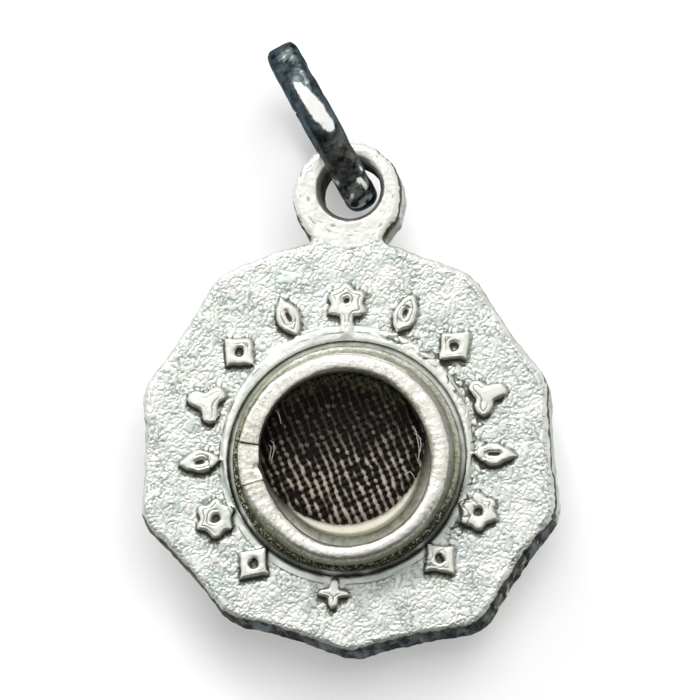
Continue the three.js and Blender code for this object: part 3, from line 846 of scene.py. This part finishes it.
def buildCloth():
    size = clothSize
    centre, radius = size["centre"], size["radius"]
    lean = math.radians(size["lean"])
    span = int(radius * 1.07 / size["grid"]) + 1
    grid = np.arange(-span, span + 1) * size["grid"]
    u, v = [part.ravel() for part in np.meshgrid(grid, grid, indexing="ij")]  # v runs up the warp
    flat = np.stack([u, v, np.zeros(len(u))], axis=1)
    x = centre[0] + u * math.cos(lean) - v * math.sin(lean)
    y = centre[1] + u * math.sin(lean) + v * math.cos(lean)

    # Which thread a point is on, and how far from its middle line, from -0.5 to 0.5
    column = (u + noiseAt(flat, 1.6, 11) * 0.06) / size["warpStep"]
    rib = np.floor(column)
    wobble = ribNoise(rib * 3.3, v / 0.4, 12) * 0.075  # each rib by itself
    warp = column + wobble * np.cos(math.pi * (column - rib - 0.5)) / size["warpStep"]
    warpIndex = np.floor(warp)
    warpSide = warp - warpIndex - 0.5
    slant = math.tan(math.radians(size["lean"] - size["weftLean"]))
    weft = (v - u * slant + noiseAt(flat, 1.3, 13) * 0.06) / size["weftStep"]
    weftIndex = np.floor(weft)
    weftSide = weft - weftIndex - 0.5

    # The warp's ribs, the weft between them, and the knots where the weft comes over
    patchy = ribNoise(warpIndex * 5.17, v / 0.3, 14)  # differs from rib to rib
    stretch = ribNoise(warpIndex * 2.31, v / 0.9, 19)
    chance = scatter(warpIndex, weftIndex)
    lower = ease(1.2, -1.6, y - 0.1 * x + 0.5 * noiseAt(flat, 0.8, 15))  # dustier there, and lighter where the painted shade of the upper half ends
    crossing = np.cos(2 * math.pi * weftSide)
    thin = 4.7 - 0.9 * lower - 1.9 * chance * crossing * (1 - 0.6 * lower)
    thin -= 0.9 * np.clip(stretch + patchy, -1, 1)
    shown = 0.6 + 1.0 * patchy + 0.5 * stretch + 0.2 * crossing * chance
    warpTop = dome(thin * warpSide) * np.clip(0.45 + 0.6 * shown, 0.3, 1)
    slip = (scatter(weftIndex, warpIndex + 40) - 0.5) * 0.42
    big = 0.1 * (1 - lower)
    knot = np.hypot((weftSide + slip) / (0.34 + big + 0.16 * chance),
                    (warpSide + 0.6 * slip + 0.12 * weftSide) / (0.15 + big + 0.15 * chance))
    bead = dome(knot) * (0.5 + 0.5 * chance)
    bead *= chance > 0.35 + 0.4 * lower  # fewer of them below, where the ribs carry the dust and the painted highlight
    weftTop = (0.3 + 0.2 * lower) * dome(2.3 * weftSide) * (1 + 0.9 * patchy)
    upper = ease(0.2, 0.75, (y - centre[1]) / radius)
    felted = np.hypot(u, v) / radius + 0.12 * noiseAt(flat, 0.5, 26)
    felted = ease(0.66, 0.84, felted) * upper
    fuzz = 0.55 + 0.45 * noiseAt(flat, 0.12, 27)
    height = np.maximum(np.maximum(warpTop, weftTop), bead)
    height += felted * (np.maximum(height, fuzz) - height)
    height = np.clip(height, 0, size["tallest"])

    # The outline, flatter at the lower left and fuller at the upper right
    bearing = np.degrees(np.arctan2(y - centre[1], x - centre[0])) % 360
    outline = 1 - 0.045 * bell(bearing, 245, 35) + 0.065 * bell((bearing + 100) % 360, 120, 50)
    edge = np.hypot(u, v) / (radius * outline)
    level = size["top"] - size["threadDepth"] * (size["tallest"] - height)
    level = np.maximum(level - size["droop"] * ease(0.86, 1.0, edge), size["bottom"] + 0.03)
    ragged = 1 - 0.025 * np.abs(noiseAt(flat * [1, 0.3, 1], 0.25, 16))
    used, faces = clothFaces((edge < ragged).reshape(len(grid), len(grid)))
    faces = faces.reshape(-1, 4)
    top = np.stack([x, y, level], axis=1)[used]
    below = top.copy()
    below[:, 2] = size["bottom"]
    total = len(used)
    sides = [faces[:, [i, (i + 1) % 4]] for i in range(4)]
    sides = dict.fromkeys(map(tuple, np.concatenate(sides).tolist()))
    walls = [(b, a, a + total, b + total) for a, b in sides if (b, a) not in sides]
    mesh = shell("relicCloth", np.concatenate([top, below]),
                 faces.tolist() + (faces[:, ::-1] + total).tolist() + walls)

    # Dust and a painted highlight lie on the threads that come to the top, most in the lower half
    lit = np.where(bead > warpTop, 0.9 * chance, shown) * (np.maximum(bead, warpTop) > weftTop)
    dust = unit(lit) * (0.04 + 0.96 * lower)
    onKnot = (bead > warpTop) * (1 - 0.7 * lower)
    dust += (0.08 + 0.3 * scatter(weftIndex, warpIndex + 7) ** 2) * onKnot
    dust = unit(dust * (1 - 0.6 * felted))
    tone = unit(0.5 + 0.6 * ribNoise(warpIndex * 3.7, v * 0.5, 17))
    # painted shade darkens the threads of the upper half
    tone *= 0.35 + 0.65 * lower
    height, dust, tone, felted = [np.tile(part[used], 2) for part in (height, dust, tone, felted)]
    setAttributes(mesh, threadHeight=height, dust=dust, threadTone=tone, felted=felted)
    cloth = newObject("relicCloth", mesh)
    mesh.materials.append(wovenWool())
    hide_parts("relic_cloth")
    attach(cloth, "medal")
    return cloth


frayLook = {
    "radius": 0.016,
    "threads": [  # x, y and level of the points each loose thread runs through
        [(2.62, 0.72, 2.2), (2.74, 0.5, 2.3), (2.8, 0.2, 2.28), (2.86, -0.25, 2.22),
         (2.83, -0.6, 2.18)],
        [(2.7, 0.42, 2.18), (2.86, 0.3, 2.26), (2.93, 0.02, 2.26), (2.9, -0.3, 2.2)],
        [(2.3, -1.2, 2.2), (2.5, -1.1, 2.28), (2.62, -1.22, 2.24), (2.7, -1.38, 2.16)],
        [(-2.75, 1.52, 2.2), (-2.64, 1.4, 2.32), (-2.56, 1.16, 2.3), (-2.52, 0.96, 2.2)],
        [(-2.92, 0.3, 2.2), (-2.8, 0.16, 2.34), (-2.78, -0.12, 2.36), (-2.86, -0.42, 2.3),
         (-2.9, -0.6, 2.2)],
        [(-3.0, 0.12, 2.22), (-2.9, 0.02, 2.34), (-2.93, -0.3, 2.34), (-2.98, -0.5, 2.22)],
    ],
}


def buildFray():
    curve = bpy.data.curves.new("frayedThreads", "CURVE")
    curve.dimensions = "3D"
    curve.bevel_depth = frayLook["radius"] * mm
    curve.bevel_resolution = 2
    curve.resolution_u = 8
    curve.use_fill_caps = True
    for thread in frayLook["threads"]:
        spline = curve.splines.new("BEZIER")
        spline.bezier_points.add(len(thread) - 1)
        for knot, at in zip(spline.bezier_points, standUp(thread).tolist()):
            knot.co = at
            knot.handle_left_type = knot.handle_right_type = "AUTO"
    curve.materials.append(looseFibre())
    fray = newObject("frayedThreads", curve)
    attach(fray, "medal")
    return fray


buildCup()
buildCard()
cloth = buildCloth()
fray = buildFray()
print("capsule filled")


ringSize = {
    "atEar": (0.34, 10.41, 0.9), "lean": 28, "radius": 3.0,
    "high": 1.2, "wide": 1.3, "squareness": 2.6,
    "topSquareness": 2.2,  # added at the top, where it was hammered more
    "splitAngle": 235, "split": 0.08,
    "steps": 260, "sides": 48, "dent": 0.06,
}


def wireSection(turn, power):  # across the wire and out from the ring's middle, with dents
    size = ringSize
    points = []
    for j in range(size["sides"]):
        angle = 2 * math.pi * j / size["sides"]
        a, b = math.cos(angle), math.sin(angle)
        dent = min(0, noise.noise(Vector((turn * 3.4, a * 1.1 + 2, b * 1.1))) - 0.05) * 2
        dent += noise.noise(Vector((turn * 9, a * 2.5, b * 2.5 + 5))) * 0.25
        scale = 1 + dent * size["dent"] / 0.62  # the wire's mean radius
        points.append((squared(a, power) * size["wide"] / 2 * scale,
                       squared(b, power) * size["high"] / 2 * scale))
    return points


def buildRing():
    size = ringSize
    lean = math.radians(90 + size["lean"])
    away = np.array([math.cos(lean), math.sin(lean), 0])
    centre = np.array(size["atEar"]) + away * size["radius"]
    forward = np.array([0, 0, 1.0])
    side = np.cross(-away, forward)
    halfSplit = size["split"] / 2 / size["radius"]
    start, span = math.radians(size["splitAngle"]) + halfSplit, 2 * (math.pi - halfSplit)
    turns = start + span * np.arange(size["steps"] + 1) / size["steps"]
    rows = []
    for turn in turns.tolist():
        out = -away * math.cos(turn) + forward * math.sin(turn)
        flattened = ease(-0.55, -0.95, math.cos(turn))  # hammered squarer at the top
        section = wireSection(turn, 2 / (size["squareness"] + size["topSquareness"] * flattened))
        core = centre + out * size["radius"]
        rows.append([core + out * high + side * wide for wide, high in section])
    ring = skin("jumpRing", rows, sharp=50)

    # Wear, sulphide, a painted highlight and painted glints by the place on the wire
    turns = np.repeat(np.degrees(turns) % 360, size["sides"])
    angles = np.tile(2 * math.pi * np.arange(size["sides"]) / size["sides"], size["steps"] + 1)
    facing = np.sin(angles)  # 1 on the ring's outside
    leaning = np.cos(angles)  # 1 towards the lower left
    place = -np.sign(leaning) * np.abs(leaning) ** 0.77  # -1 at the left edge, 1 at the right
    middle = np.interp(turns, [68, 80, 92, 104, 114], [0.4, 0.24, 0.1, -0.1, -0.3])  # it slants
    broad = np.interp(turns, [68, 76, 86, 94, 104, 114], [0.2, 0.46, 0.52, 0.42, 0.24, 0.06])
    # painted highlight: a spindle of bright silver along the front of the ring
    bare = ease(66, 73, turns) * ease(116, 102, turns) * bell(place, middle, broad, 4)
    spots = bell(turns, 138, 16) * bell(leaning, -0.1, 0.5) * 0.5
    spots += bell(turns, 110, 14) * bell(leaning, -0.4, 0.22) * 0.5
    worn = (1.1 * bare + spots) * (facing > 0)
    lowerEnd = turns < 90
    glint = noiseAt(np.stack([turns / 9, leaning * 2.5, facing], axis=1), 1.0, 23)
    # painted glints of reflected light at the lower end
    worn += ease(0.1, 0.4, glint) * ease(52, 30, turns) * lowerEnd * 0.5
    worn += 0.31 * ease(44, 28, turns) * lowerEnd * (facing > -0.4)
    slate = 0.11 * ease(0.4, 0.95, np.abs(leaning)) + 0.11 * ease(50, 80, turns)
    warm = ease(74, 60, turns) * lowerEnd
    setAttributes(ring.data, worn=unit(worn), warm=warm, slate=slate)
    ring.data.materials.append(blackenedWire())
    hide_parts("jump_ring")
    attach(ring, "ring")


buildRing()
print("ring built")


studioLook = {
    "backdropGap": 3.2,  # behind the medal's back, in millimetres
    "boardReach": 0.6,  # this and the rest in metres and watts
    "floorDrop": 0.16,
    "boardColour": 0.45,
    "boardLift": 0.165,  # with the lamps it comes to a white of 1 away from the medal
    "roomLight": 0.9,
    "keyPower": 0.65, "keySize": 0.14, "keyAt": (-0.1, -0.24, 0.26),
    "shadowPower": 1.75, "shadowSize": 0.25, "shadowAt": (0.08, -0.36, 0.07),
    "cardDrop": 0.1, "cardReach": 0.3,
}


def seenRays(add):  # 1 for the camera's rays and those that a surface mirrors or lets through
    ray = add("LightPath").node.outputs
    seen = ray["Is Camera Ray"]
    for name in ("Is Glossy Ray", "Is Transmission Ray"):
        seen = add("Math", {0: seen, 1: ray[name]}, operation="MAXIMUM")
    return seen


def whiteBoard(name, lift, clearBehind):
    # Painted board, matt white: the camera and the metal both see it with the medal's soft shadow.
    material = bpy.data.materials.new(name)
    add = partial(addNode, clearedTree(material))
    tone = studioLook["boardColour"]
    matt = add("BsdfDiffuse", {"Color": (tone, tone, tone, 1)})
    glow = add("Emission", {"Strength": lift})
    lit = add("AddShader", {0: matt, 1: glow})
    plain = add("Emission", {"Strength": studioLook["roomLight"]})
    surface = add("MixShader", {0: seenRays(add), 1: plain, 2: lit})
    if clearBehind:  # views from behind look through it
        back = add("NewGeometry", out="Backfacing")
        clear = add("BsdfTransparent")
        surface = add("MixShader", {0: back, 1: surface, 2: clear})
    add("OutputMaterial", {"Surface": surface})
    return material


def blackCard():
    # Card, matt black: it stands out of the picture, and the metal's lower edges mirror it.
    material = bpy.data.materials.new("mattBlackCard")
    add = partial(addNode, clearedTree(material))
    card = add("BsdfPrincipled", {"Base Color": linear("#161718"), "Roughness": 0.9})
    add("OutputMaterial", {"Surface": card})
    return material


def board(name, low, high, material):  # upright or level, between two corners
    mesh = bpy.data.meshes.new(name)
    (x, y, z), (right, far, top) = low, high
    mesh.from_pydata([low, (right, y, z), high, (x, far, top)], [], [(0, 1, 2, 3)])
    mesh.materials.append(material)
    obj = newObject(name, mesh)
    return obj


def softbox(name, power, size, at):
    light = bpy.data.lights.new(name, "AREA")
    light.energy = power
    light.size = size
    lamp = newObject(name, light)
    lamp.location = at
    lamp.rotation_euler = (-Vector(at)).to_track_quat("-Z", "Y").to_euler()
    return lamp


def buildStudio():
    look = studioLook
    gap, wide, drop = look["backdropGap"] * mm, look["boardReach"], -look["floorDrop"]
    backdrop = board("backdrop", (-wide, gap, drop), (wide, gap, wide),
                     whiteBoard("backdropBoard", look["boardLift"], True))
    board("floor", (-wide, -wide, drop), (wide, wide, drop),
          whiteBoard("floorBoard", 1 - look["boardColour"], False))
    reach, low = look["cardReach"], -look["cardDrop"]
    dark = board("blackCard", (-reach, -reach, low), (reach, 0, low), blackCard())
    dark.visible_camera = dark.visible_diffuse = dark.visible_shadow = False

    softbox("keyLight", look["keyPower"], look["keySize"], look["keyAt"])
    # This one lights the backdrop alone, so that the medal's shadow shows on it
    shadowLamp = softbox("backdropLight", look["shadowPower"], look["shadowSize"], look["shadowAt"])
    lit = bpy.data.collections.new("backdropOnly")
    lit.objects.link(backdrop)
    shadowLamp.light_linking.receiver_collection = lit

    world = bpy.data.worlds.new("studio")
    bpy.context.scene.world = world
    add = partial(addNode, clearedTree(world))
    strength = add("Mix", {0: seenRays(add), 2: look["roomLight"], 3: 1.0})
    room = add("Background", {"Color": (1, 1, 1, 1), "Strength": strength})
    add("OutputWorld", {"Surface": room})


buildStudio()


cameraLook = {
    "azimuth": 7, "elevation": -13, "distance": 0.4, "lens": 531.8,
    "aimRight": 0.116, "aimUp": 3.81,
}


def buildCamera():
    look = cameraLook
    a, e = math.radians(look["azimuth"]), math.radians(look["elevation"])
    back = Vector((math.sin(a) * math.cos(e), -math.cos(a) * math.cos(e), math.sin(e)))
    right = Vector((math.cos(a), math.sin(a), 0))
    up = back.cross(right)
    aim = Vector((0, -fieldLevel * mm, 0))
    aim += right * look["aimRight"] * mm + up * look["aimUp"] * mm
    data = bpy.data.cameras.new("photoCamera")
    data.sensor_width = 36
    data.lens = look["lens"]
    camera = newObject("photoCamera", data)
    camera.location = aim + back * look["distance"]
    camera.rotation_euler = back.to_track_quat("Z", "Y").to_euler()
    bpy.context.scene.camera = camera


buildCamera()
bpy.context.scene.view_settings.view_transform = "Standard"
print("studio ready")
